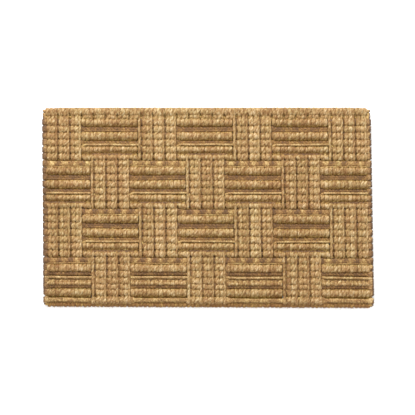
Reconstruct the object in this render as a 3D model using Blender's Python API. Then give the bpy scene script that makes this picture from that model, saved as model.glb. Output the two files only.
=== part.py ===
"""Hand-loomed coir door mat, modelled as its interlaced cords and bands.

Warp bands run across the mat, front to back, side by side. Weft cords run
along its length. Where a dent weaves ribs it dives under every second weft cord at
first; elsewhere it floats over all of them. The ribs of neighbouring blocks
are half a repeat apart, which gives the basket pattern. Metres, +Z up, origin
on the floor under the middle of the mat, +X along the mat, +Y to its back.
"""
import math

import bpy

# Driving dimensions
MAT_LENGTH = 0.914  # along X, over the selvedge cords
MAT_WIDTH = 0.559  # along Y, over the turned ends of the warp
WARP_THICKNESS = 0.006  # one band of two-ply coir yarn, trodden flat
WEFT_THICKNESS = 0.007
WEFT_WIDTH = 0.0105  # widest that a weft cord spreads
SELVEDGE_DIAMETER = 0.0085
HEADING_INSET = 0.0095  # centre of a heading cord to the mat's edge
BACK_SPACING = 0.0320  # back heading cord to the first weft cord
LAST_PITCH = 0.0178  # between the weft cords of the last block, which are beaten closer
FRONT_SPACING = 0.0135  # last weft cord to the front heading cord
CREST_LENGTH = 0.006  # flat run of a band over or under a weft cord
DENT_GAP = 0.001  # between neighbouring warp bands
CLEARANCE = 0.0003  # between a band and the cord that it crosses
CROWN_SHARE = 0.6  # flat top of a cord against its whole width, at most
TURN_SHARE = 0.45  # cut corner of a band's turned end against the band's thickness

# The weave
DENTS = 27
WEFTS = 27  # between the two heading cords
PICKS_PER_BLOCK = 7
DENTS_PER_REPEAT = 8
FIRST_BLOCK_RIBS = (3, 4, 5, 6, 7)  # dents of a repeat that rib in the odd blocks
SECOND_BLOCK_RIBS = (7, 0, 1, 2, 3)  # and in the even ones
DIVES_IN_RIBS = (1, 3)  # picks of a block that a ribbing dent dives under, from 0
LAST_BLOCK_DIVES = (1, 3, 5)  # in the last block the ribs run on to the front edge

# Derived sizes
RISE = WEFT_THICKNESS / 2 + CLEARANCE + WARP_THICKNESS / 2  # band's middle above the mat's middle
MAT_THICKNESS = 2 * RISE + WARP_THICKNESS
DENT_PITCH = (MAT_LENGTH - 2 * SELVEDGE_DIAMETER) / DENTS
BACK_HEADING_Y = MAT_WIDTH / 2 - HEADING_INSET
FIRST_WEFT_Y = BACK_HEADING_Y - BACK_SPACING
LAST_BLOCK = (WEFTS - 1) // PICKS_PER_BLOCK
LOOSE_WEFTS = LAST_BLOCK * PICKS_PER_BLOCK  # picks before the last block
LAST_SPAN = (WEFTS - 1 - LOOSE_WEFTS) * LAST_PITCH
WEFT_PITCH = (FIRST_WEFT_Y + BACK_HEADING_Y - FRONT_SPACING - LAST_SPAN) / LOOSE_WEFTS
TURN_CUT = TURN_SHARE * WARP_THICKNESS
WEFT_LENGTH = MAT_LENGTH - 2 * (SELVEDGE_DIAMETER + CLEARANCE)
SELVEDGE_SIDES = 12

COLOURS = {
    "coir_warp": (0.479, 0.302, 0.147),
    "coir_weft": (0.235, 0.122, 0.043),
    "coir_selvedge": (0.345, 0.213, 0.102),
    "coir_heading": (0.402, 0.254, 0.107),
}


def clear_scene():
    for old in list(bpy.data.objects):
        bpy.data.objects.remove(old)


def coir_material(name):
    material = bpy.data.materials.new(name)
    material.use_nodes = True
    shader = material.node_tree.nodes["Principled BSDF"]
    shader.inputs["Base Color"].default_value = (*COLOURS[name], 1.0)
    shader.inputs["Roughness"].default_value = 0.85
    shader.inputs["Metallic"].default_value = 0.0
    return material


def extruded_outline(name, outline, length, x, material, mat):
    """A solid with the outline (points of Y and Z) and the length along X."""
    curve = bpy.data.curves.new(name, "CURVE")
    curve.dimensions = "2D"
    curve.fill_mode = "BOTH"
    curve.extrude = length / 2
    spline = curve.splines.new("POLY")
    spline.points.add(len(outline) - 1)
    for point, (y, z) in zip(spline.points, outline):
        point.co = (y, z, 0.0, 1.0)
    spline.use_cyclic_u = True
    curve.materials.append(material)
    solid = bpy.data.objects.new(name, curve)
    solid.location = (x, 0.0, MAT_THICKNESS / 2)
    solid.rotation_euler = (math.pi / 2, 0.0, math.pi / 2)
    mat.objects.link(solid)
    return solid


def offset_path(path, distance):
    """The path moved sideways by the distance, with mitred corners."""
    moved = []
    for i, (y, z) in enumerate(path):
        before = path[max(i - 1, 0)]
        after = path[min(i + 1, len(path) - 1)]
        arriving = math.atan2(z - before[1], y - before[0]) if i > 0 else None
        leaving = math.atan2(after[1] - z, after[0] - y) if i < len(path) - 1 else None
        arriving = leaving if arriving is None else arriving
        leaving = arriving if leaving is None else leaving
        turn = math.remainder(leaving - arriving, 2 * math.pi)
        sideways = arriving + turn / 2 + math.pi / 2
        reach = distance / math.cos(turn / 2)
        moved.append((y + reach * math.cos(sideways), z + reach * math.sin(sideways)))
    return moved


def spacing(pick):
    """From a weft cord to the next one; 0 is the back heading cord."""
    if pick == 0:
        return BACK_SPACING
    if pick == WEFTS:
        return FRONT_SPACING
    return WEFT_PITCH if pick <= LOOSE_WEFTS else LAST_PITCH


def weft_y(pick):
    """Where a weft cord lies, the first at the back of the mat."""
    return BACK_HEADING_Y - sum(spacing(i) for i in range(pick))


def ribs(dent, block):
    """Whether the dent weaves ribs in this block."""
    ribbing = FIRST_BLOCK_RIBS if block % 2 == 0 else SECOND_BLOCK_RIBS
    return block <= LAST_BLOCK and dent % DENTS_PER_REPEAT in ribbing


def dives(dent, pick):
    """Whether the dent's band passes under the weft cord."""
    block, place = divmod(pick - 1, PICKS_PER_BLOCK)
    if place == PICKS_PER_BLOCK - 1:
        return ribs(dent, block + 1)  # it comes up for the first rib of the next block
    diving = LAST_BLOCK_DIVES if block == LAST_BLOCK else DIVES_IN_RIBS
    return place in diving and ribs(dent, block)


def warp_path(dent):
    """The middle line of one band, from its back end to its front end."""
    edge = MAT_WIDTH / 2 - WARP_THICKNESS / 2
    end = -WEFT_THICKNESS / 2
    path = [(edge, end), (edge, RISE - TURN_CUT), (edge - TURN_CUT, RISE)]
    half_crest = CREST_LENGTH / 2
    height = RISE
    previous = BACK_HEADING_Y
    for pick in range(1, WEFTS + 2):
        heading = pick > WEFTS
        y = -BACK_HEADING_Y if heading else weft_y(pick)
        level = -RISE if not heading and dives(dent, pick) else RISE
        if level != height:
            path.append((previous - half_crest, height))
            path.append((y + half_crest, level))
        height = level
        previous = y
    path += [(TURN_CUT - edge, RISE), (-edge, RISE - TURN_CUT), (-edge, end)]
    return path


def room_beside(distance):
    """Half widths left for a cord, at its middle and its crown, beside a sloping band."""
    slope = math.atan2(2 * RISE, distance - CREST_LENGTH)
    middle = distance / 2 - (WARP_THICKNESS / 2 + CLEARANCE) / math.sin(slope)
    crown = middle - WEFT_THICKNESS / 2 / math.tan(slope)
    return middle, crown


def cord_outline(y, rooms):
    """A flattened six-sided cord that the bands on both sides clear."""
    middle = min([room[0] for room in rooms] + [WEFT_WIDTH / 2])
    crown = min([room[1] for room in rooms] + [CROWN_SHARE * middle])
    top = WEFT_THICKNESS / 2
    half = [(y + middle, 0.0), (y + crown, top), (y - crown, top)]
    return half + [(2 * y - py, -pz) for py, pz in half]


def make_warp_bands(mat):
    material = coir_material("coir_warp")
    width = DENT_PITCH - DENT_GAP
    for dent in range(DENTS):
        path = warp_path(dent)
        upper = offset_path(path, WARP_THICKNESS / 2)
        lower = offset_path(path, -WARP_THICKNESS / 2)
        x = (dent - (DENTS - 1) / 2) * DENT_PITCH
        name = f"warp_band_{dent + 1:02d}"
        extruded_outline(name, upper + lower[::-1], width, x, material, mat)


def make_weft_cords(mat):
    material = coir_material("coir_weft")
    for pick in range(1, WEFTS + 1):
        rooms = [room_beside(spacing(pick - 1)), room_beside(spacing(pick))]
        outline = cord_outline(weft_y(pick), rooms)
        extruded_outline(f"weft_cord_{pick:02d}", outline, WEFT_LENGTH, 0.0, material, mat)


def make_heading_cords(mat):
    material = coir_material("coir_heading")
    # the turned ends of the warp limit the cord: their upright legs its middle, their
    # corners, cut at 45 degrees, its crown
    middle = HEADING_INSET - WARP_THICKNESS - CLEARANCE
    corner = HEADING_INSET - WARP_THICKNESS / 2 + RISE - TURN_CUT
    corner -= math.sqrt(2) * (WARP_THICKNESS / 2 + CLEARANCE)
    turned = (middle, corner - WEFT_THICKNESS / 2)
    ends = (("back", 1, BACK_SPACING), ("front", -1, FRONT_SPACING))
    for side, sign, distance in ends:
        rooms = [room_beside(distance), turned]
        outline = cord_outline(sign * BACK_HEADING_Y, rooms)
        extruded_outline(f"heading_cord_{side}", outline, WEFT_LENGTH, 0.0, material, mat)


def make_selvedge_cords(mat):
    material = coir_material("coir_selvedge")
    for side, sign in (("left", -1), ("right", 1)):
        name = f"selvedge_cord_{side}"
        curve = bpy.data.curves.new(name, "CURVE")
        curve.dimensions = "3D"
        curve.bevel_depth = SELVEDGE_DIAMETER / 2
        curve.bevel_resolution = SELVEDGE_SIDES // 4 - 1
        curve.use_fill_caps = True
        spline = curve.splines.new("POLY")
        spline.points.add(1)
        spline.points[0].co = (0.0, -MAT_WIDTH / 2, 0.0, 1.0)
        spline.points[1].co = (0.0, MAT_WIDTH / 2, 0.0, 1.0)
        curve.materials.append(material)
        cord = bpy.data.objects.new(name, curve)
        cord.location = (sign * (MAT_LENGTH - SELVEDGE_DIAMETER) / 2, 0.0, MAT_THICKNESS / 2)
        mat.objects.link(cord)


def main():
    clear_scene()
    mat = bpy.data.collections.new("door_mat")
    bpy.context.scene.collection.children.link(mat)
    make_warp_bands(mat)
    make_weft_cords(mat)
    make_heading_cords(mat)
    make_selvedge_cords(mat)


main()
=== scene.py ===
# %% [markdown]
# # A hand-loomed coir door mat
#
# Coir is the rough brown fibre of the coconut husk. It is spun into yarn, two
# yarns are plied together, and the plied yarn is woven on a hand loom: warp
# yarns run front to back, thick weft cords run along the mat. In this lesson
# every yarn of the mat is laid in its place, as the weaver would lay it.
#
# The frame comes first. It is the fixed, plain model that the looks are built
# around, and it says where each band and cord lies.

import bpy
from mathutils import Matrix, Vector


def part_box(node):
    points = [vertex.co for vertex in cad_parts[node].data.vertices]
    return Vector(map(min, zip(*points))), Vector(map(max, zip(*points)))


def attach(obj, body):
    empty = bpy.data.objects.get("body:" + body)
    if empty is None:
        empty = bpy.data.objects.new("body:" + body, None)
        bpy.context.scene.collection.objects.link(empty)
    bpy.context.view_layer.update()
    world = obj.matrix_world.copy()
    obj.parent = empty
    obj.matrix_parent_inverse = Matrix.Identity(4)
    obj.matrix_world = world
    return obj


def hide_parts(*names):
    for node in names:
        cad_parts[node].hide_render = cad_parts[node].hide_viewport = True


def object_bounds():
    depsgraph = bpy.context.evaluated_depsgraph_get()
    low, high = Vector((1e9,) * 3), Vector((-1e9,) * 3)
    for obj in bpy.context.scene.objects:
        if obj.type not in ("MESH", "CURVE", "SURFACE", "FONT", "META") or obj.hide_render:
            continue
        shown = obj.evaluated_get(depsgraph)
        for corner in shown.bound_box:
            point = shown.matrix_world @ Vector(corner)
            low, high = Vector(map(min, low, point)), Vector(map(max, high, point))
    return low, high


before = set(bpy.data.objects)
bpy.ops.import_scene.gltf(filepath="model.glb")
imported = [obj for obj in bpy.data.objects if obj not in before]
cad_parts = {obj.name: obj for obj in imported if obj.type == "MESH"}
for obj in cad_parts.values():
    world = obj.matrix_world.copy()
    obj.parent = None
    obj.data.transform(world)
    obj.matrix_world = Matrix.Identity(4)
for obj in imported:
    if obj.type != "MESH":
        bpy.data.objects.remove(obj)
cad_low, cad_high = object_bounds()
print("frame:", len(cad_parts), "nodes,", [round(s, 4) for s in cad_high - cad_low])

# %% Tools
import functools
import math

import bmesh
import bpy
import numpy as np
from mathutils import Vector

MM = 0.001
SEED = 20
random = np.random.default_rng(SEED)


def srgb(code, alpha=1.0):
    """A hex sRGB colour as linear RGBA."""
    levels = [int(code[i : i + 2], 16) / 255 for i in (1, 3, 5)]
    linear = [c / 12.92 if c <= 0.04045 else ((c + 0.055) / 1.055) ** 2.4 for c in levels]
    return (*linear, alpha)


# %% [markdown]
# ## Camera, floor and light
#
# The mat lies on a pale floor and the camera looks almost straight down. It
# stands a little to the front, so the front edge comes out slightly wider. A
# long lens far away keeps the cords parallel.

# %% Camera
middle = (cad_low + cad_high) / 2
CAMERA_DISTANCE = 4.0
CAMERA_TILT = math.radians(2.5)
SEEN_WIDTH = 1.157  # metres across the view at the mat
AIM = middle + Vector((0, -0.0008, 0))
SENSOR_WIDTH = 36  # mm

camera_data = bpy.data.cameras.new("camera")
camera = bpy.data.objects.new("camera", camera_data)
bpy.context.scene.collection.objects.link(camera)
camera_data.sensor_width = SENSOR_WIDTH
camera_data.lens = camera_data.sensor_width * CAMERA_DISTANCE / SEEN_WIDTH
back = Vector((0, -math.sin(CAMERA_TILT), math.cos(CAMERA_TILT)))
camera.location = AIM + back * CAMERA_DISTANCE
camera.rotation_euler = (CAMERA_TILT, 0, 0)
bpy.context.scene.camera = camera
print("camera lens", round(camera_data.lens, 1), "mm")

# %% [markdown]
# The relief of the weave shows because the light comes low from the back. A
# large soft lamp does that, and a white sky fills the shadows. The Standard
# view keeps the colours as they are set.

# %% Floor and light
bpy.context.scene.view_settings.view_transform = "Standard"
KEY_HEIGHT = math.radians(37)
KEY_SIDE = math.radians(-12)
KEY_DISTANCE = 4.0  # metres
KEY_SIZE = 1.2
KEY_POWER = 226  # watts
SKY_STRENGTH = 1.34
FLOOR_HALF = 6  # metres
FLOOR_COLOUR = "#fbfbfa"
FLOOR_ROUGHNESS = 0.9


def add_floor():
    """A matt floor for the mat to lie on."""
    bm = bmesh.new()
    bmesh.ops.create_grid(bm, x_segments=1, y_segments=1, size=FLOOR_HALF)
    mesh = bpy.data.meshes.new("floor")
    bm.to_mesh(mesh)
    bm.free()
    floor = bpy.data.objects.new("floor", mesh)
    bpy.context.scene.collection.objects.link(floor)
    paint = bpy.data.materials.new("matt_white_floor")
    paint.use_nodes = True
    shader = paint.node_tree.nodes["Principled BSDF"]
    shader.inputs["Base Color"].default_value = srgb(FLOOR_COLOUR)
    shader.inputs["Roughness"].default_value = FLOOR_ROUGHNESS
    mesh.materials.append(paint)
    return floor


def add_lamp(name, height, side, distance, size, power):
    """A square lamp that looks at the middle of the mat; height and side are angles."""
    data = bpy.data.lights.new(name, "AREA")
    data.energy = power
    data.size = size
    lamp = bpy.data.objects.new(name, data)
    bpy.context.scene.collection.objects.link(lamp)
    level = math.cos(height)
    towards = Vector((math.sin(side) * level, math.cos(side) * level, math.sin(height)))
    lamp.location = middle + towards * distance
    lamp.rotation_euler = towards.to_track_quat("Z", "Y").to_euler()
    return lamp


floor = add_floor()
key = add_lamp("back_lamp", KEY_HEIGHT, KEY_SIDE, KEY_DISTANCE, KEY_SIZE, KEY_POWER)
sky = bpy.data.worlds.new("white_sky")
sky.use_nodes = True
sky.node_tree.nodes["Background"].inputs["Color"].default_value = srgb("#ffffff")
sky.node_tree.nodes["Background"].inputs["Strength"].default_value = SKY_STRENGTH
bpy.context.scene.world = sky
print("stage:", floor.name, key.name, sky.name)

# %% [markdown]
# ## The weaving plan
#
# The reed parts the warp into dents. Each dent holds two bead yarns and one
# float yarn. Where a dent weaves ribs it dives under the second and the fourth
# cord of a block, and elsewhere it stays on top of all of them: the bead yarns
# sink a little between the cords, so they look like rows of beads, and the
# float yarn runs straighter. A dent also dives under the last cord of a block
# when the next block starts with its rib. Blocks change after seven cords,
# half a repeat sideways. In the last block the ribs run on to the front edge,
# and the warp dives under the sixth cord as well.

# %% Read the places of the bands and cords from the frame
DENTS = 27
CORDS = 27
BLOCK = 7  # cords in a block
LAST_BLOCK = (CORDS - 1) // BLOCK
REPEAT = 8  # dents in a repeat
# dents of a repeat that weave ribs, in even and in odd blocks
RIB_DENTS = {"bead": ((3, 4, 5, 6, 7), (7, 0, 1, 2, 3)), "float": ((3, 4, 5, 6), (7, 0, 1, 2))}
DIVES_UNDER = (1, 3)  # places in the block, counted from 0
LAST_DIVES_UNDER = (1, 3, 5)
SHOWN_CORDS = 2 * BLOCK  # how much of the plan is printed

band_boxes = [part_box(f"warp_band_{i + 1:02d}") for i in range(DENTS)]
dent_x = np.array([(low.x + high.x) / 2 for low, high in band_boxes])
dent_pitch = dent_x[1] - dent_x[0]
cord_names = ["heading_cord_back"] + [f"weft_cord_{i + 1:02d}" for i in range(CORDS)]
cord_names += ["heading_cord_front"]
cord_boxes = [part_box(name) for name in cord_names]
cord_y = np.array([(low.y + high.y) / 2 for low, high in cord_boxes])
mid_z = middle.z
edge_x, edge_y = cad_high.x, cad_high.y
print("dent pitch", round(dent_pitch / MM, 2), "mm")
print("cord pitch", round((cord_y[1] - cord_y[2]) / MM, 2), "mm")


def in_rib(kind, dent, block):
    """Whether the yarns of this kind weave ribs in the block."""
    return 0 <= block <= LAST_BLOCK and dent % REPEAT in RIB_DENTS[kind][block % 2]


def opens(kind, dent, cord):
    """Whether the next cord carries the first rib of a block; 0 is the back heading cord."""
    return cord % BLOCK == 0 and in_rib(kind, dent, cord // BLOCK)


def dives(kind, dent, cord):
    """Whether the yarn goes under this cord."""
    if not 0 < cord <= CORDS:
        return False
    block, place = divmod(cord - 1, BLOCK)
    under = LAST_DIVES_UNDER if block == LAST_BLOCK else DIVES_UNDER
    return opens(kind, dent, cord) or (place in under and in_rib(kind, dent, block))


for cord in range(1, SHOWN_CORDS + 1):
    print("".join("-" if dives("bead", dent, cord) else "#" for dent in range(DENTS)))

# %% [markdown]
# A weaver's beat is never even, so each cord wanders a little, and some of the
# last cords lie out of their places.

# %% Beat of the cords
CORD_WANDER = (0.8 * MM, 0.42)  # size and longest wave, in metres
UNEVEN_BEAT = {24: -3.0, 26: 2.4, 27: -2.4}  # mm by cord
WAVE_RATIO = 1.7  # how much shorter each wave is
WAVE_SUM = 1.6  # brings the three waves together to about the size asked for
wander_phase = random.uniform(0, 2 * math.pi, (CORDS + 2, 3))


def some_phases():
    """Random phases for waves()."""
    return random.uniform(0, 6, 3)


def waves(position, phases, size, longest):
    """A smooth wander: three sine waves, each shorter and weaker than the last."""
    total = np.zeros_like(position)
    for i, phase in enumerate(phases):
        total += np.sin(position * 2 * math.pi * (i * WAVE_RATIO + 1) / longest + phase) / (i + 1)
    return size * total / WAVE_SUM


def beat_y(cord, x):
    """Where a cord lies at x; 0 is the back heading cord."""
    x = np.asarray(x, float)
    push = UNEVEN_BEAT.get(cord, 0.0) * MM
    return cord_y[cord] + push + waves(x, wander_phase[cord], *CORD_WANDER)


# %% [markdown]
# ## How a yarn is made
#
# Each ply starts as a closed cylinder whose long edges are cut into stations.
# The stations are then carried along the yarn's path. Two plies twist round
# each other; where they lie one above the other they are squeezed flat, as in
# a mat that is walked on. Every point also keeps its place on the straight,
# untwisted ply, in the attribute "laid", so that the fibres follow the yarn.

# %% A ply as a straight closed tube
LAID_SHIFT = 5  # metres; each ply reads its own part of the fibre pattern


@functools.lru_cache(maxsize=None)
def straight_tube(stations, sides):
    """A tube's mesh, and the station and the angle of each of its points."""
    bm = bmesh.new()
    bmesh.ops.create_cone(bm, cap_ends=True, segments=sides, radius1=1, radius2=1, depth=1)
    long_edges = [e for e in bm.edges if abs(e.verts[0].co.z - e.verts[1].co.z) > 0.5]
    bmesh.ops.subdivide_edges(bm, edges=long_edges, cuts=stations - 2, use_grid_fill=True)
    mesh = bpy.data.meshes.new("straight_tube")
    bm.to_mesh(mesh)
    bm.free()
    place = np.empty(len(mesh.vertices) * 3)
    mesh.vertices.foreach_get("co", place)
    place = place.reshape(-1, 3)
    station = np.rint((place[:, 2] + 0.5) * (stations - 1)).astype(int)
    return mesh, station, np.arctan2(place[:, 1], place[:, 0])


def new_bundle():
    """The tubes of one piece, before they become a mesh."""
    return {"bm": bmesh.new(), "place": [], "laid": [], "tone": []}


def add_tubes(bundle, path, across, half_width, half_height, sides, spin, tone):
    """Tubes along the paths (tube, station, xyz); across is the side direction of them all.

    Half widths, half heights and tones are given at each station. The fibres turn by
    spin radians a metre round the tube.
    """
    mesh, station, angle = straight_tube(path.shape[1], sides)
    for _ in range(len(path)):
        bundle["bm"].from_mesh(mesh)
    forward = np.gradient(path, axis=1)
    forward /= np.linalg.norm(forward, axis=2, keepdims=True)
    up = np.cross(forward, across)
    up /= np.linalg.norm(up, axis=2, keepdims=True)
    side = np.cross(up, forward)
    wide = (half_width[:, station] * np.cos(angle))[..., None]
    high = (half_height[:, station] * np.sin(angle))[..., None]
    place = path[:, station] + wide * side[:, station] + high * up[:, station]
    steps = np.linalg.norm(np.diff(path, axis=1), axis=2)
    run = np.concatenate([np.zeros((len(path), 1)), np.cumsum(steps, axis=1)], axis=1)[:, station]
    round_angle = angle + run * spin
    radius = (half_width[:, station] + half_height[:, station]) / 2
    laid = np.stack([run, radius * np.cos(round_angle), radius * np.sin(round_angle)], axis=2)
    laid += random.uniform(-LAID_SHIFT, LAID_SHIFT, (len(path), 1, 3))
    bundle["place"].append(place.reshape(-1, 3))
    bundle["laid"].append(laid.reshape(-1, 3))
    bundle["tone"].append(tone[:, station].ravel())


# %% Two plies twisted into a yarn
FIBRE_TWIST = -70.0  # radians per metre, against the twist of the plies
YARN_STEP = 2.6 * MM  # from station to station
PLY_SIDES = 7
TWIST_WANDER = (0.5, 0.16)  # the twist is uneven: radians, and longest wave in metres
SWELLING = (0.05, 0.05)  # so is the thickness: share of it, and longest wave in metres
# place and half size of a ply, as shares of the yarn's width or height
PLY_ASIDE = 0.18
PLY_ABOVE = 0.16
PLY_HALF_WIDTH = 0.33
PLY_HALF_HEIGHT = 0.47
STACKED_WIDER = 0.13  # plies that lie one above the other are squeezed wide and flat
STACKED_FLATTER = 0.12
PLY_TONE = 0.12  # plies differ by about this in tone
FEWEST_STATIONS = 4


def resample(points, step):
    """The polyline with a point every step along it, and each point's run."""
    steps = np.linalg.norm(np.diff(points[:, :3], axis=0), axis=1)
    run = np.concatenate([[0], np.cumsum(steps)])
    count = max(int(run[-1] / step), FEWEST_STATIONS)
    wanted = np.linspace(0, run[-1], count)
    return np.stack([np.interp(wanted, run, column) for column in points.T], axis=1), wanted


def add_yarn(bundle, points, across, height, lay, tone, step=YARN_STEP, sides=PLY_SIDES):
    """A two-ply yarn along points (x, y, z, width, tone); lay is the length of one full twist."""
    points, run = resample(points, step)
    centre, width, along_tone = points[:, :3], points[:, 3], points[:, 4]
    across = np.array(across, float)
    forward = np.gradient(centre, axis=0)
    forward /= np.linalg.norm(forward, axis=1, keepdims=True)
    up = np.cross(forward, across)
    turn = 2 * math.pi * run / lay + random.uniform(0, 2 * math.pi)
    turn += waves(run, some_phases(), *TWIST_WANDER)
    swell = 1 + waves(run, some_phases(), *SWELLING)
    for ply in (0, 1):
        angle = turn + ply * math.pi
        stacked = np.sin(angle) ** 2
        offset = across * (width * PLY_ASIDE * np.cos(angle))[:, None]
        offset = offset + up * (height * PLY_ABOVE * np.sin(angle))[:, None]
        half_width = (width * (PLY_HALF_WIDTH + STACKED_WIDER * stacked) * swell)[None]
        half_height = (height * (PLY_HALF_HEIGHT - STACKED_FLATTER * stacked) * swell)[None]
        path = (centre + offset)[None]
        ply_tone = (along_tone + tone + random.normal(0, PLY_TONE))[None]
        add_tubes(bundle, path, across, half_width, half_height, sides, FIBRE_TWIST, ply_tone)


# %% Stray fibres
FIBRE_STATIONS = 7
FIBRE_SIDES = 3
FIBRE_REACH = 4 * MM  # how far a fibre may stand out past the mat's sides
FIBRE_STEP = 2 * MM  # a fibre starts at one of the points this far apart
FIBRE_LENGTH = (8, 26)  # mm
FIBRE_RADIUS = (0.13, 0.26)  # mm
FIBRE_LIFT = (0.1, 1.4)  # mm, before it is raised to the power
LIFT_POWER = 1.5
FIBRE_HEADING = 0.5  # radians off the yarn's way
FIBRE_BEND = 0.25
BEND_CENTRE = 0.08  # keeps the middle of a bent fibre on its yarn
ENDS_DROP = 3.2  # the ends come down to a fifth of the lift
ENDS_THINNER = 1.2
FIBRE_ASIDE = 0.4  # share of the yarn's width
FIBRE_TONE = (0.1, 0.8)  # mean and spread
OFF_FLOOR = 0.4 * MM
SURFACE = 0.47  # share of the yarn's height


def add_stray_fibres(bundle, points, across, height, count):
    """Loose coir fibres that lift off the yarn and curl back to it."""
    points, _ = resample(points, FIBRE_STEP)
    centre, width = points[:, :3], points[:, 3]
    across = np.array(across, float)
    forward = np.gradient(centre, axis=0)
    forward /= np.linalg.norm(forward, axis=1, keepdims=True)
    up = np.cross(forward, across)
    start = random.integers(0, len(centre) - 1, count)
    length = random.uniform(*FIBRE_LENGTH, count) * MM
    heading = random.normal(0, FIBRE_HEADING, count)
    flip = np.where(random.random(count) < 0.5, -1.0, 1.0)
    lift = random.uniform(*FIBRE_LIFT, count) ** LIFT_POWER * MM
    bend = random.normal(0, FIBRE_BEND, count)
    t = np.linspace(-0.5, 0.5, FIBRE_STATIONS)[None, :, None]
    along = forward[start][:, None] * np.cos(heading)[:, None, None] * flip[:, None, None]
    sideways = across * np.sin(heading)[:, None, None]
    curve = bend[:, None, None] * (t**2 - BEND_CENTRE) * across
    path = centre[start][:, None] + length[:, None, None] * ((along + sideways) * t + curve)
    rise = height * SURFACE + lift[:, None, None] * (1 - ENDS_DROP * t**2)
    path = path + up[start][:, None] * rise
    aside = random.uniform(-FIBRE_ASIDE, FIBRE_ASIDE, count) * width[start]
    path = path + across * aside[:, None, None]
    limit = np.array([edge_x, edge_y, cad_high.z]) + FIBRE_REACH
    path = np.clip(path, [-limit[0], -limit[1], cad_low.z + OFF_FLOOR], limit)
    taper = 1 - ENDS_THINNER * t[..., 0] ** 2
    radius = random.uniform(*FIBRE_RADIUS, count)[:, None] * MM * taper
    tone = np.repeat(random.normal(*FIBRE_TONE, count)[:, None], FIBRE_STATIONS, axis=1)
    add_tubes(bundle, path, across, radius, radius, FIBRE_SIDES, 0.0, tone)


# %% [markdown]
# The finished mat isn't a perfect rectangle: it is skewed by a few
# millimetres, its front edge is cut slightly aslant and the back corners are
# drawn in. One function moves every point that way, so all pieces agree.

# %% Out of square
SKEW = 0.0125  # sideways for each metre to the front
FRONT_SLANT = 2.0 * MM
CORNER_DRAW = 1.5 * MM
CORNER_REACH = 0.06  # metres


def smooth_step(value):
    """0 to 1, level at both ends."""
    value = np.clip(value, 0, 1)
    return value * value * (3 - 2 * value)


def out_of_square(place):
    """The points, moved from their places on a perfect rectangle."""
    x, y, z = place.T
    to_front = 0.5 - y / (2 * edge_y)
    drawn = smooth_step((np.abs(x) - edge_x + CORNER_REACH) / CORNER_REACH)
    drawn = drawn * smooth_step((y - edge_y + CORNER_REACH) / CORNER_REACH)
    moved_y = y - FRONT_SLANT * (x / edge_x) * to_front - CORNER_DRAW * drawn
    return np.stack([x - SKEW * y, moved_y, z], axis=1)


def finish_bundle(bundle, name, node, material):
    """Makes the mesh object, and hides the part of the frame it stands for."""
    mesh = bpy.data.meshes.new(name)
    bundle["bm"].to_mesh(mesh)
    bundle["bm"].free()
    place = out_of_square(np.concatenate(bundle["place"]))
    mesh.vertices.foreach_set("co", place.ravel())
    laid = mesh.attributes.new("laid", "FLOAT_VECTOR", "POINT")
    laid.data.foreach_set("vector", np.concatenate(bundle["laid"]).ravel())
    tone = mesh.attributes.new("tone", "FLOAT", "POINT")
    tone.data.foreach_set("value", np.concatenate(bundle["tone"]))
    mesh.shade_smooth()
    mesh.materials.append(material)
    mesh.update()
    piece = bpy.data.objects.new(name, mesh)
    bpy.context.scene.collection.objects.link(piece)
    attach(piece, "root")
    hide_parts(node)
    return piece


# %% [markdown]
# ## Coir
#
# Coir fibre is ribbon-like, 0.1 to 0.4 mm thick, and its colour runs from dark
# husk brown to pale straw, some of it pinkish. Spun, it gives fine streaks
# along the yarn, which is what the eye takes for coir. It is quite matt, with
# a dull shine on each fibre. Warp, weft and edge cords are spun from different
# lots of husk, so each has colours of its own.

# %% Node helper
def add_node(tree, kind, inputs=None, stops=(), **settings):
    """Adds a node. An input is a plain value or another node's output; stops are a ramp's."""
    new = tree.nodes.new(kind)
    for name, value in settings.items():
        setattr(new, name, value)
    for name, value in (inputs or {}).items():
        if isinstance(value, bpy.types.NodeSocket):
            tree.links.new(value, new.inputs[name])
        else:
            new.inputs[name].default_value = value
    elements = new.color_ramp.elements if stops else ()
    while len(elements) < len(stops):
        elements.new(0.5)
    for element, (position, code) in zip(elements, stops):
        element.position = position
        element.color = srgb(code)
    return new


# %% Coir material
# length and width of the streaks
LOCKS = (8 * MM, 3.5 * MM)  # locks of fibre that were spun in together
STRANDS = (12 * MM, 1.5 * MM)  # drawn coarse so that it shows: a strand is nearer 0.8 mm
SINGLE_FIBRES = (6 * MM, 0.3 * MM)
LOCK_WEIGHT = 1.4
TONE_WEIGHT = 0.22
STREAK_MIDDLE = 2.05  # the sum of the streaks that gets the middle colours
STREAK_REACH = 0.8
COLOUR_PLACES = (0.0, 0.28, 0.55, 1.0)
PATCH_SCALE = 24.0  # per metre, so patches are some 40 mm long
PATCH_RANGE = (0.36, 0.64)
PINKISH = "#fff7ee"
GOLDEN = "#fcfbee"
SHADE_TINT_HEIGHTS = (7 * MM, 17 * MM)  # heights in the mat between which the painted shade tint fades out
# painted shade: the warm brown tint that the low parts of the mat get
DEEP_SHADE_TINT = "#fff6a4"
WHITE = "#ffffff"
FIBRE_ROUGHNESS = (0.5, 0.85)
FIBRE_IOR = 1.5
BUMP_DISTANCE = 1.0 * MM
SINGLE_HEIGHT = 0.5  # a single fibre stands out half as much as a strand


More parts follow.
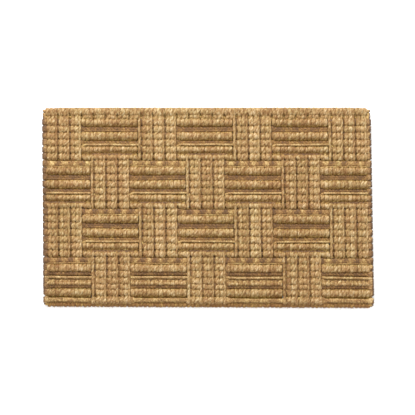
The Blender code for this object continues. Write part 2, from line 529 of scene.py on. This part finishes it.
def coir(name, colours, length=1.0, contrast=1.2, depth=0.5):
    """Coir fibre spun and plied; four colours, dark to pale. Length scales the streaks."""
    material = bpy.data.materials.new(name)
    material.use_nodes = True
    tree = material.node_tree
    shader = tree.nodes["Principled BSDF"]
    laid = add_node(tree, "ShaderNodeAttribute", attribute_name="laid").outputs["Vector"]
    tone = add_node(tree, "ShaderNodeAttribute", attribute_name="tone").outputs["Fac"]
    place = add_node(tree, "ShaderNodeTexCoord").outputs["Object"]

    def fibres(along, across, detail):
        """Streaks so many metres long and wide, laid along the yarn."""
        scale = (1 / along, 1 / across, 1 / across)
        streaks = {"Vector": laid, "Scale": scale}
        streaks = add_node(tree, "ShaderNodeMapping", streaks).outputs["Vector"]
        noise = {"Vector": streaks, "Scale": 1.0, "Detail": detail}
        return add_node(tree, "ShaderNodeTexNoise", noise).outputs["Fac"]

    locks = fibres(LOCKS[0] * length, LOCKS[1], 1.0)
    strands = fibres(STRANDS[0] * length, STRANDS[1], 2.0)
    single = fibres(*SINGLE_FIBRES, 1.0)
    streak = {0: strands, 1: single}
    streak = add_node(tree, "ShaderNodeMath", streak, operation="ADD").outputs["Value"]
    for part, weight in ((locks, LOCK_WEIGHT), (tone, TONE_WEIGHT)):
        more = {0: part, 1: weight, 2: streak}
        streak = add_node(tree, "ShaderNodeMath", more, operation="MULTIPLY_ADD").outputs["Value"]
    reach = STREAK_REACH / contrast
    streak = {"Value": streak, "From Min": STREAK_MIDDLE - reach, "From Max": STREAK_MIDDLE + reach}
    streak = add_node(tree, "ShaderNodeMapRange", streak).outputs["Result"]
    stops = list(zip(COLOUR_PLACES, colours))
    colour = add_node(tree, "ShaderNodeValToRGB", {"Fac": streak}, stops).outputs["Color"]

    # lots of husk differ, so some patches are pinkish and some golden
    patch = {"Vector": place, "Scale": PATCH_SCALE, "Detail": 2.0}
    patch = add_node(tree, "ShaderNodeTexNoise", patch).outputs["Fac"]
    patch = {"Value": patch, "From Min": PATCH_RANGE[0], "From Max": PATCH_RANGE[1]}
    patch = add_node(tree, "ShaderNodeMapRange", patch).outputs["Result"]
    # painted shade: low in the mat the colour is tinted a warmer, deeper brown, standing in for the
    # shade between the fibres; the tint fades out towards the top
    height = add_node(tree, "ShaderNodeSeparateXYZ", {"Vector": place}).outputs["Z"]
    height = {"Value": height, "From Min": SHADE_TINT_HEIGHTS[0], "From Max": SHADE_TINT_HEIGHTS[1]}
    above_shade = add_node(tree, "ShaderNodeMapRange", height).outputs["Result"]
    for factor, low, high in ((patch, PINKISH, GOLDEN), (above_shade, DEEP_SHADE_TINT, WHITE)):
        stops = [(0.0, low), (1.0, high)]
        tint = add_node(tree, "ShaderNodeValToRGB", {"Fac": factor}, stops).outputs["Color"]
        both = {"Factor": 1.0, "A": colour, "B": tint}
        mix = add_node(tree, "ShaderNodeMix", both, data_type="RGBA", blend_type="MULTIPLY")
        colour = mix.outputs["Result"]
    tree.links.new(colour, shader.inputs["Base Color"])

    shine = {"Value": single, "To Min": FIBRE_ROUGHNESS[0], "To Max": FIBRE_ROUGHNESS[1]}
    rough = add_node(tree, "ShaderNodeMapRange", shine).outputs["Result"]
    tree.links.new(rough, shader.inputs["Roughness"])
    shader.inputs["IOR"].default_value = FIBRE_IOR
    grain = {0: single, 1: SINGLE_HEIGHT, 2: strands}
    grain = add_node(tree, "ShaderNodeMath", grain, operation="MULTIPLY_ADD").outputs["Value"]
    raised = {"Height": grain, "Strength": depth, "Distance": BUMP_DISTANCE}
    bump = add_node(tree, "ShaderNodeBump", raised).outputs["Normal"]
    tree.links.new(bump, shader.inputs["Normal"])
    return material


WARP_COLOURS = ("#6a4619", "#907344", "#b09c7b", "#c0af93")
WEFT_COLOURS = ("#503516", "#704f26", "#8c6d40", "#bfaa80")
BINDER_COLOURS = ("#583d1e", "#8b6d43", "#b09466", "#c8ac80")
warp_coir = coir("plied_coir_warp", WARP_COLOURS)
weft_coir = coir("plied_coir_weft", WEFT_COLOURS, length=0.35, contrast=1.35)
edge_coir = coir("spun_coir_binder", BINDER_COLOURS)
print("coir:", [m.name for m in (warp_coir, weft_coir, edge_coir)])

# %% [markdown]
# ## Warp
#
# A yarn's height follows a list of keys: on top of a cord, below it, or in
# the dip between two cords. Between the keys it eases over smoothly, as a
# stiff yarn does. At both ends it turns over the heading cord.

# %% Heights of a warp yarn
YARN_HEIGHT = 6.2 * MM
TOP = (cad_high.z - cad_low.z) / 2 - YARN_HEIGHT / 2  # yarn's middle above the mat's middle
CREST = {"bead": 2.1 * MM, "float": 3.0 * MM}  # half of the level run over a cord
RIB_CREST = 2.2 * MM  # the same where the yarn makes a broad rib
BROAD_RIBS = (0, 2)  # places in the block
LAST_BROAD_RIBS = (4,)
NARROW_CREST = 0.5 * MM
LAST_RIB_CREST = 4.4 * MM  # the first rib of the last block is the broadest
UNDER_RUN = 4.6 * MM  # half of the level run under a cord
DIP = {"bead": 5.0 * MM, "float": 1.8 * MM}  # how far it sinks between cords
DEEP_DIP = 8.5 * MM
DEEP_PLACE = 4  # the deep dip follows the third rib, which lies over this cord of a block
DEEP_BACK = 2.2 * MM  # the deep dip reaches this far to the back and to the front
DEEP_FRONT = 3.6 * MM
# before the first weft cord: distance from the heading cord and drop, both in mm
BACK_DIPS = ((9.0, 1.0), (15.0, 4.0), (21.0, 3.0))
RIB_BACK_DIPS = ((8.5, 0.6), (12.3, 3.2), (17.0, 1.6), (24.3, 5.5))
FRONT_DROP = 7.6 * MM  # over the front heading cord
BEAD_SHIFT = 1.8 * MM  # the beat pushes each bead a little to the front of its cord
FRONT_SHIFT = 3.0 * MM
# ribs that crest to the front of their cord: (last block, place in the block)
LATE_CREST = {(True, 0): 4.5 * MM, (True, 2): 8.0 * MM, (False, 5): 2.8 * MM}
LATE_CORD = LAST_BLOCK * BLOCK + 3  # here the yarn climbs early to its late crest
LATE_CLIMB = 5 * MM
SHORTEST = 1e-6  # metres; guards the easing where two keys meet
TURN_POINTS = 13  # round a heading cord


def crest_run(kind, dent, cord):
    """Half of the level run over a cord."""
    block, place = divmod(cord - 1, BLOCK)
    if cord == 0 or not in_rib(kind, dent, block):
        return CREST[kind]
    if block == LAST_BLOCK and place == 0:
        return LAST_RIB_CREST
    broad = LAST_BROAD_RIBS if block == LAST_BLOCK else BROAD_RIBS
    return RIB_CREST if place in broad else NARROW_CREST


def crest_shift(kind, dent, cord):
    """How far to the front of its cord a crest lies."""
    block, place = divmod(cord - 1, BLOCK)
    if cord == 0:
        return 0.0
    if cord > CORDS:
        return FRONT_SHIFT
    if not in_rib(kind, dent, block):
        return BEAD_SHIFT
    return LATE_CREST.get((block == LAST_BLOCK, place), 0.0)


def dip_keys(kind, dent, cord, y, next_y):
    """Keys between two cords that the yarn passes over."""
    block, place = divmod(cord - 1, BLOCK)
    half_way = (y + next_y) / 2
    if cord == 0:
        dips = RIB_BACK_DIPS if opens(kind, dent, cord) else BACK_DIPS
        return [(y - lag * MM, TOP - drop * MM) for lag, drop in dips]
    if place == DEEP_PLACE and block < LAST_BLOCK and in_rib(kind, dent, block):
        low = TOP - DEEP_DIP
        return [(half_way + DEEP_BACK, low), (half_way - DEEP_FRONT, low)]
    return [(half_way, TOP - DIP[kind])]


def yarn_keys(kind, dent, x):
    """Keys (y, z) of the yarn from the back heading cord to the front one."""
    keys = []
    for cord in range(CORDS + 2):
        under = dives(kind, dent, cord)
        crest = UNDER_RUN if under else crest_run(kind, dent, cord)
        y = float(beat_y(cord, x)) - crest_shift(kind, dent, cord)
        z = -TOP if under else TOP
        if cord > CORDS:
            z -= FRONT_DROP
        if cord == LATE_CORD and in_rib(kind, dent, LAST_BLOCK):
            keys.append((y + crest + LATE_CLIMB, TOP - LATE_CLIMB))
        keys += [(y + crest, z), (y - crest, z)]
        if cord > CORDS or under or dives(kind, dent, cord + 1):
            continue
        keys += dip_keys(kind, dent, cord, y, float(beat_y(cord + 1, x)))
    return keys


def eased_heights(keys, y):
    """Heights at y, easing from key to key."""
    key_y = np.array([k[0] for k in keys])[::-1]
    key_z = np.array([k[1] for k in keys])[::-1]
    order = np.argsort(key_y)
    key_y, key_z = key_y[order], key_z[order]
    after = np.clip(np.searchsorted(key_y, y), 1, len(key_y) - 1)
    y0, y1 = key_y[after - 1], key_y[after]
    t = smooth_step((y - y0) / np.maximum(y1 - y0, SHORTEST))
    return key_z[after - 1] + (key_z[after] - key_z[after - 1]) * t


def turned_end(sign, tuck, top):
    """Points round a heading cord, from its underside to its top: (y, z) from its middle."""
    reach = edge_y - abs(cord_y[0]) - YARN_HEIGHT / 2
    angles = np.linspace(-math.pi / 2, math.pi / 2, TURN_POINTS)
    half_rise = (top + TOP) / 2
    arc = [(sign * reach * math.cos(a), half_rise * (1 + math.sin(a)) - TOP) for a in angles]
    return [(-sign * tuck, -TOP)] + arc


# %% [markdown]
# The reed holds the three yarns of a dent together, two bead yarns side by
# side and the float yarn close to them, with a narrow gap before the next
# dent. In a block with ribs, from its first to its sixth cord, they spread out
# evenly and close the gap, and so they do where they turn over the heading
# cords. In the last block they stay spread up to the front edge.

# %% Places and widths across a dent
ACROSS_WARP = (1, 0, 0)
WARP_STATIONS = 700
GATHERED = {"a": (-7.3, 13.2), "b": (3.5, 11.8), "float": (11.4, 7.8)}  # place and width, mm
SPREAD = {"a": (-11.07, 12.6), "b": (0.0, 12.6), "float": (11.07, 12.6)}
SUNK = {"a": 2.2 * MM, "b": 0.0, "float": 1.4 * MM}  # how much lower they lie when gathered
PUFF = {"bead": 0.36, "float": 0.1}  # a gathered yarn is wide over a cord and narrow between cords
PUFF_MIDDLE = 0.55  # share of the rise at which it has its mean width
LAST_SPREAD = 5  # cords from the first of a block to the last with spread yarns
EASE = 9 * MM  # how fast the yarns spread
FIRST_MARGIN = 9 * MM  # they spread a little before the first cord
LAST_MARGIN = 5 * MM
END_SPREAD = 24 * MM  # spread from here to the mat's edge
END_EASE = 10 * MM
BACK_TUCK = 20 * MM  # how far the turned ends run back under the mat
FRONT_TUCK = 3 * MM
WARP_WANDER = (0.5 * MM, 0.2)  # size and longest wave, in metres
FRONT_PAINTED_SHADE = -1.3  # painted shade: the turned front ends are darkened, standing in for the shadow of the last cord
FRONT_SHADE_FROM = 4 * MM  # behind the heading cord's middle
FRONT_SHADE_EASE = 3 * MM


def spread_share(kind, dent, y):
    """1 where the yarns of the dent are spread, 0 where they are gathered."""
    share = smooth_step((np.abs(y) - edge_y + END_SPREAD) / END_EASE)
    for block in range(LAST_BLOCK + 1):
        if in_rib(kind, dent, block):
            first = block * BLOCK + 1
            last = CORDS if block == LAST_BLOCK else first + LAST_SPREAD
            inside = np.minimum(cord_y[first] + FIRST_MARGIN - y, y - cord_y[last] + LAST_MARGIN)
            share = np.maximum(share, smooth_step(0.5 + inside / EASE))
    return share


def warp_path(yarn, dent, phases):
    """Points of a yarn from end to end, each with its width and tone."""
    kind = "float" if yarn == "float" else "bead"
    (gathered_place, gathered_width), (spread_place, spread_width) = GATHERED[yarn], SPREAD[yarn]
    keys = yarn_keys(kind, dent, dent_x[dent] + gathered_place * MM)
    start, end = cord_y[0], cord_y[-1]
    y = np.linspace(start, end, WARP_STATIONS)[1:-1]
    z = eased_heights(keys, y)
    back_turn = [(start + dy, dz) for dy, dz in turned_end(1, BACK_TUCK, TOP)]
    front_turn = [(end + dy, dz) for dy, dz in turned_end(-1, FRONT_TUCK, TOP - FRONT_DROP)][::-1]
    profile = np.array(back_turn + list(zip(y, z)) + front_turn)
    share = spread_share(kind, dent, profile[:, 0])
    place = (gathered_place + (spread_place - gathered_place) * share) * MM
    width = (gathered_width + (spread_width - gathered_width) * share) * MM
    rise = np.clip(1 - (TOP - profile[:, 1]) / DIP[kind], 0, 1)
    width *= 1 + PUFF[kind] * (rise - PUFF_MIDDLE) * (1 - share)
    side = dent_x[dent] + place + waves(profile[:, 0], phases, *WARP_WANDER)
    sunk = SUNK[yarn] * (1 - share) * np.clip(profile[:, 1] / TOP, 0, 1)
    height = profile[:, 1] - sunk
    # painted shade: darkens the turned front ends, where the last cord would shade them
    tone = FRONT_PAINTED_SHADE * smooth_step((end + FRONT_SHADE_FROM - profile[:, 0]) / FRONT_SHADE_EASE)
    return np.stack([side, profile[:, 0], height + mid_z, width, tone], axis=1)


# %% Lay the warp
FLOAT_HEIGHT = 5.6 * MM
# height, length of one full twist, tone and number of stray fibres of each yarn
WARP_YARNS = {
    "a": (YARN_HEIGHT, 31 * MM, -0.2, 60),
    "b": (YARN_HEIGHT, 31 * MM, 0.2, 60),
    "float": (FLOAT_HEIGHT, 44 * MM, -0.2, 40),
}
LOT_TONE = 0.2  # bands, and yarns in a band, differ by about this in tone


def lay_band(dent):
    """The three yarns of a dent, as one piece."""
    bundle = new_bundle()
    band_tone = random.normal(0, LOT_TONE)
    for yarn, (height, lay, yarn_tone, strays) in WARP_YARNS.items():
        path = warp_path(yarn, dent, some_phases())
        tone = band_tone + yarn_tone + random.normal(0, LOT_TONE)
        add_yarn(bundle, path, ACROSS_WARP, height, lay, tone)
        add_stray_fibres(bundle, path, ACROSS_WARP, height, strays)
    name = f"warp_yarns_{dent + 1:02d}"
    return finish_bundle(bundle, name, f"warp_band_{dent + 1:02d}", warp_coir)


warp = [lay_band(dent) for dent in range(DENTS)]
print("warp:", len(warp), "bands,", sum(len(p.data.polygons) for p in warp), "faces")

# %% [markdown]
# ## Weft
#
# A thick cord lies in each shed, and a thin binder yarn beside it. The warp
# presses the cord wide. Where the warp dives, the bare cord lies low between
# two ribs, except the last one of a block, which rises to fill the place
# before the next ribs. At the sides each cord turns down round the selvedge
# cord. The turns lie so close together that the side edge is nearly straight.

# %% Paths of the weft
ACROSS_WEFT = (0, 1, 0)
SELVEDGE_WIDTH = 6.0 * MM
SELVEDGE_INSET = 5.6 * MM  # middle of a selvedge cord from the mat's side
CORD_TURN = 5.0 * MM  # a cord's middle from the selvedge cord's middle
BINDER_TURN = 4.2 * MM
SIDE_POINTS = 12
TURN_FROM = math.pi * 0.5
TURN_TO = -math.pi * 0.55  # the turn ends under the selvedge cord
LEVEL_END = 9 * MM  # the level part ends this far before the selvedge cord
WEFT_STATIONS = 420
TURN_WIDTH = 19.4 * MM
TURN_TONES = (0.3, 1.2)  # left and right side
SHADED_EDGE = 3.0 * MM  # painted shade: the outermost fibre is darkened for the shaded side face of the mat
SHADED_TONE = -2.2
RIB_WIDTH = 12.2 * MM
OPEN_WIDTH = 15.5 * MM  # the last cord of a block, where the next ribs open
PRESSED_WIDTH = 20.5 * MM
FLAG_REACH = 0.55  # half of a flagged dent, in dents
FLAG_STEP = 0.25  # and the smooth step beside it
# height of a cord's middle over the mat's middle
COVERED_HEIGHT = -0.2 * MM
BARE_HEIGHT = -1.8 * MM
OPEN_HEIGHT = 1.2 * MM
LAST_BARE_HEIGHT = 0.2 * MM  # in the last block
FRONT_BARE_HEIGHT = 2.4 * MM  # the very last cord


def side_turn(sign, radius):
    """Points round a selvedge cord, from the mat outwards, over it and down: (x, z)."""
    centre = sign * (edge_x - SELVEDGE_INSET)
    angles = np.linspace(TURN_FROM, TURN_TO, SIDE_POINTS)
    return [(centre + sign * radius * math.cos(a), radius * math.sin(a)) for a in angles]


def weft_path(heights, widths, radius, y_at, tones=np.zeros_like):
    """A cord across the mat, turned down at both sides; widths and tones are functions of x."""
    inner = edge_x - SELVEDGE_INSET - LEVEL_END
    x = np.linspace(-inner, inner, WEFT_STATIONS)
    keys = list(zip(dent_x, heights))
    keys = [(-inner, heights[0])] + keys + [(inner, heights[-1])]
    z = eased_heights(keys[::-1], x)
    left = side_turn(-1, radius)[::-1]
    right = side_turn(1, radius)
    profile = np.array(left + list(zip(x, z)) + right)
    side, height = profile.T
    turned = np.abs(side) > edge_x - 2 * SELVEDGE_INSET
    tone = tones(side) + np.where(side < 0, *TURN_TONES) * turned
    # painted shade on the outermost fibre at both sides of the mat
    tone = np.where(np.abs(side) > edge_x - SHADED_EDGE, SHADED_TONE, tone)
    return np.stack([side, y_at(side), height + mid_z, widths(side), tone], axis=1)


def share_along(x, flags):
    """1 in the dents that are flagged, 0 in the others, with smooth steps between."""
    share = np.zeros_like(x)
    for dent in range(DENTS):
        if flags[dent]:
            outside = np.abs(x - dent_x[dent]) - FLAG_REACH * dent_pitch
            share = np.maximum(share, smooth_step(1 - outside / (FLAG_STEP * dent_pitch)))
    return share


def cord_heights(cord):
    """The height of the cord in each dent."""
    bare = BARE_HEIGHT
    if cord % BLOCK == 0:
        bare = OPEN_HEIGHT
    elif cord > LAST_BLOCK * BLOCK:
        bare = FRONT_BARE_HEIGHT if cord == CORDS else LAST_BARE_HEIGHT
    return [bare if dives("bead", dent, cord) else COVERED_HEIGHT for dent in range(DENTS)]


def cord_widths(cord, x):
    """Pressed wide under the warp, narrower where the warp dives here or at a neighbour."""
    near = (cord - 1, cord, cord + 1)
    pressed = [not any(dives("bead", dent, c) for c in near) for dent in range(DENTS)]
    narrow = OPEN_WIDTH if cord % BLOCK == 0 else RIB_WIDTH
    width = narrow + (PRESSED_WIDTH - narrow) * share_along(x, pressed)
    return np.where(np.abs(x) > edge_x - 2 * SELVEDGE_INSET, TURN_WIDTH, width)


# %% [markdown]
# The binder lies to the front of its cord. Beside the second cord of a block
# it lies low and is as brown as the cord. Beside the fourth it lies high and
# pale and makes a line of its own; in the last block it does so beside the
# second. In the deep dip after the fifth cord it is a brown line between two
# dark ones, and beside the last cord it is thin and pale. The warp presses it
# flat.

# %% Binder of each cord
# by place in the block: distance to the front of its cord, size and height where it shows, all
# in mm, and tone
BINDERS = {
    1: (5.6, 6.4, 0.0, 0.0),
    3: (5.6, 6.2, 3.7, 2.1),
    4: (9.6, 4.4, -1.0, 0.8),
    6: (8.4, 3.6, 2.6, 1.8),
}
LAST_BINDERS = {1: (10.9, 7.6, 3.8, 1.9), 3: (8.4, 3.2, 0.4, 0.9), 5: (7.4, 3.0, 0.6, 0.9)}
HIDDEN_BINDER = (6.3, 3.6, 0.0, 0.9)
HIDDEN_HEIGHT = -3.0 * MM
HIDDEN_WIDTH = 9.0 * MM  # under the warp it is pressed flat between two cords
HIDDEN_LAG = 9.6 * MM
BINDER_EDGE = 20 * MM  # so near the side it keeps its own width


def binder_of(cord):
    """The cord's row of the table."""
    block, place = divmod(cord - 1, BLOCK)
    table = LAST_BINDERS if block == LAST_BLOCK else BINDERS
    return table.get(place, HIDDEN_BINDER)


def binder_shows(cord):
    """The dents in which the binder can be seen."""
    block, place = divmod(cord - 1, BLOCK)
    dipped = [place == DEEP_PLACE and in_rib("bead", dent, block) for dent in range(DENTS)]
    return [dives("bead", dent, cord) or dipped[dent] for dent in range(DENTS)]


# %% Lay the weft
CORD_HEIGHT = 7.4 * MM
CORD_LAY = 20 * MM
CORD_STEP = 2.5 * MM
CORD_STRAYS = 60
BINDER_LAY = 13 * MM
BINDER_STEP = 3.2 * MM
BINDER_SIDES = 5
CORD_TONE = 0.3  # cords differ by about this in tone
PALE_LAST = 0.9  # the last cord of each block is paler
DARK_CORD = -0.3
LAST_BLOCK_TONE = 0.5
# painted light and shade on the last cord of a block, standing in for lit beads and shaded gaps
# between dents
OPEN_PAINTED_RELIEF = 1.3
PATCHY_CORD = 0.7  # how much the tone changes along a cord
PATCHY_BINDER = 0.9
PATCH_LENGTH = 0.05  # metres, the longest wave


def lay_cord(cord):
    """A weft cord and its binder, as one piece."""
    bundle = new_bundle()
    pale = cord % BLOCK == 0 or cord == CORDS
    tone = random.normal(0, CORD_TONE) + (PALE_LAST if pale else DARK_CORD)
    tone += LAST_BLOCK_TONE * (cord > LAST_BLOCK * BLOCK)
    cord_patches = some_phases()
    binder_patches = some_phases()
    lag, size, height, binder_tone = np.array(binder_of(cord)) * (MM, MM, MM, 1)
    shows = binder_shows(cord)
    hidden = [not seen for seen in shows]

    def cord_tones(x):
        """Patchy, and on the last cord of a block painted light and shade: lighter in the middle of
        each dent, darker at the gaps between dents.
        """
        middles = np.cos(2 * math.pi * (x - dent_x[0]) / dent_pitch)
        painted_relief = OPEN_PAINTED_RELIEF * (cord % BLOCK == 0) * middles
        return painted_relief + waves(x, cord_patches, PATCHY_CORD, PATCH_LENGTH)

    def binder_widths(x):
        """Flat and wide under the warp."""
        inside = np.abs(x) < edge_x - BINDER_EDGE
        return size + (HIDDEN_WIDTH - size) * share_along(x, hidden) * inside

    def binder_y(x):
        """To the front of its cord, half-way to the next one under the warp."""
        return beat_y(cord, x) - lag - (HIDDEN_LAG - lag) * share_along(x, hidden)

    def binder_tones(x):
        return waves(x, binder_patches, PATCHY_BINDER, PATCH_LENGTH)

    widths = functools.partial(cord_widths, cord)
    centre_y = functools.partial(beat_y, cord)
    path = weft_path(cord_heights(cord), widths, CORD_TURN, centre_y, cord_tones)
    add_yarn(bundle, path, ACROSS_WEFT, CORD_HEIGHT, CORD_LAY, tone, CORD_STEP)
    add_stray_fibres(bundle, path, ACROSS_WEFT, CORD_HEIGHT, CORD_STRAYS)
    heights = [height if seen else HIDDEN_HEIGHT for seen in shows]
    path = weft_path(heights, binder_widths, BINDER_TURN, binder_y, binder_tones)
    add_yarn(bundle, path, ACROSS_WEFT, size, BINDER_LAY, binder_tone, BINDER_STEP, BINDER_SIDES)
    name = f"weft_yarns_{cord:02d}"
    return finish_bundle(bundle, name, f"weft_cord_{cord:02d}", weft_coir)


weft = [lay_cord(cord) for cord in range(1, CORDS + 1)]
print("weft:", len(weft), "cords,", sum(len(p.data.polygons) for p in weft), "faces")

# %% [markdown]
# ## Edge cords
#
# The heading cords lie inside the turned warp ends, and the selvedge cords
# inside the turned wefts. All are straight two-ply cords. The front heading
# cord lies low, because the warp drops over it. Behind the first weft cord two
# flat picks fill the room up to the back heading cord.

# %% Lay the edge cords
EDGE_TONE = 0.2
HEADING_SIZE = 6.6 * MM
HEADING_LAY = 30 * MM
HEADING_STEP = 3.2 * MM
FRONT_LOWER = 3 * MM
FRONT_THINNER = 1.4 * MM
BACK_PICKS = (9.5 * MM, 18.5 * MM)  # from the heading cord
PICK_LOWER = 1.5 * MM
PICK_WIDTH = 12.0 * MM
PICK_HEIGHT = 5.0 * MM
PICK_LAY = 60 * MM
SELVEDGE_END = 5 * MM  # from the mat's edge
SELVEDGE_STATIONS = 200
SELVEDGE_LAY = 26 * MM
SELVEDGE_STEP = 2.8 * MM


def lay_heading(side, cord):
    """A heading cord, the back one with its picks."""
    bundle = new_bundle()
    widths = functools.partial(np.full_like, fill_value=HEADING_SIZE)
    path = weft_path([0.0] * DENTS, widths, BINDER_TURN, functools.partial(beat_y, cord))
    if side == "front":
        path = path + np.array([0, 0, -FRONT_LOWER, -FRONT_THINNER, 0])
    add_yarn(bundle, path, ACROSS_WEFT, HEADING_SIZE, HEADING_LAY, EDGE_TONE, HEADING_STEP)
    for lag in BACK_PICKS if side == "back" else ():
        pick = path + np.array([0, -lag, -PICK_LOWER, PICK_WIDTH - HEADING_SIZE, 0])
        add_yarn(bundle, pick, ACROSS_WEFT, PICK_HEIGHT, PICK_LAY, EDGE_TONE, HEADING_STEP)
    name = f"heading_yarns_{side}"
    return finish_bundle(bundle, name, f"heading_cord_{side}", edge_coir)


def lay_selvedge(side, sign):
    """A selvedge cord, from back to front."""
    bundle = new_bundle()
    reach = edge_y - SELVEDGE_END
    y = np.linspace(reach, -reach, SELVEDGE_STATIONS)
    level = np.ones_like(y)
    x = sign * (edge_x - SELVEDGE_INSET)
    path = np.stack([x * level, y, mid_z * level, SELVEDGE_WIDTH * level, 0 * level], axis=1)
    add_yarn(bundle, path, ACROSS_WARP, SELVEDGE_WIDTH, SELVEDGE_LAY, EDGE_TONE, SELVEDGE_STEP)
    name = f"selvedge_yarns_{side}"
    return finish_bundle(bundle, name, f"selvedge_cord_{side}", edge_coir)


edges = [lay_heading("back", 0), lay_heading("front", CORDS + 1)]
edges += [lay_selvedge("left", -1), lay_selvedge("right", 1)]
faces = sum(sum(len(p.vertices) - 2 for p in piece.data.polygons) for piece in warp + weft + edges)
print("edge cords:", len(edges), "- the whole mat has", faces, "triangles")
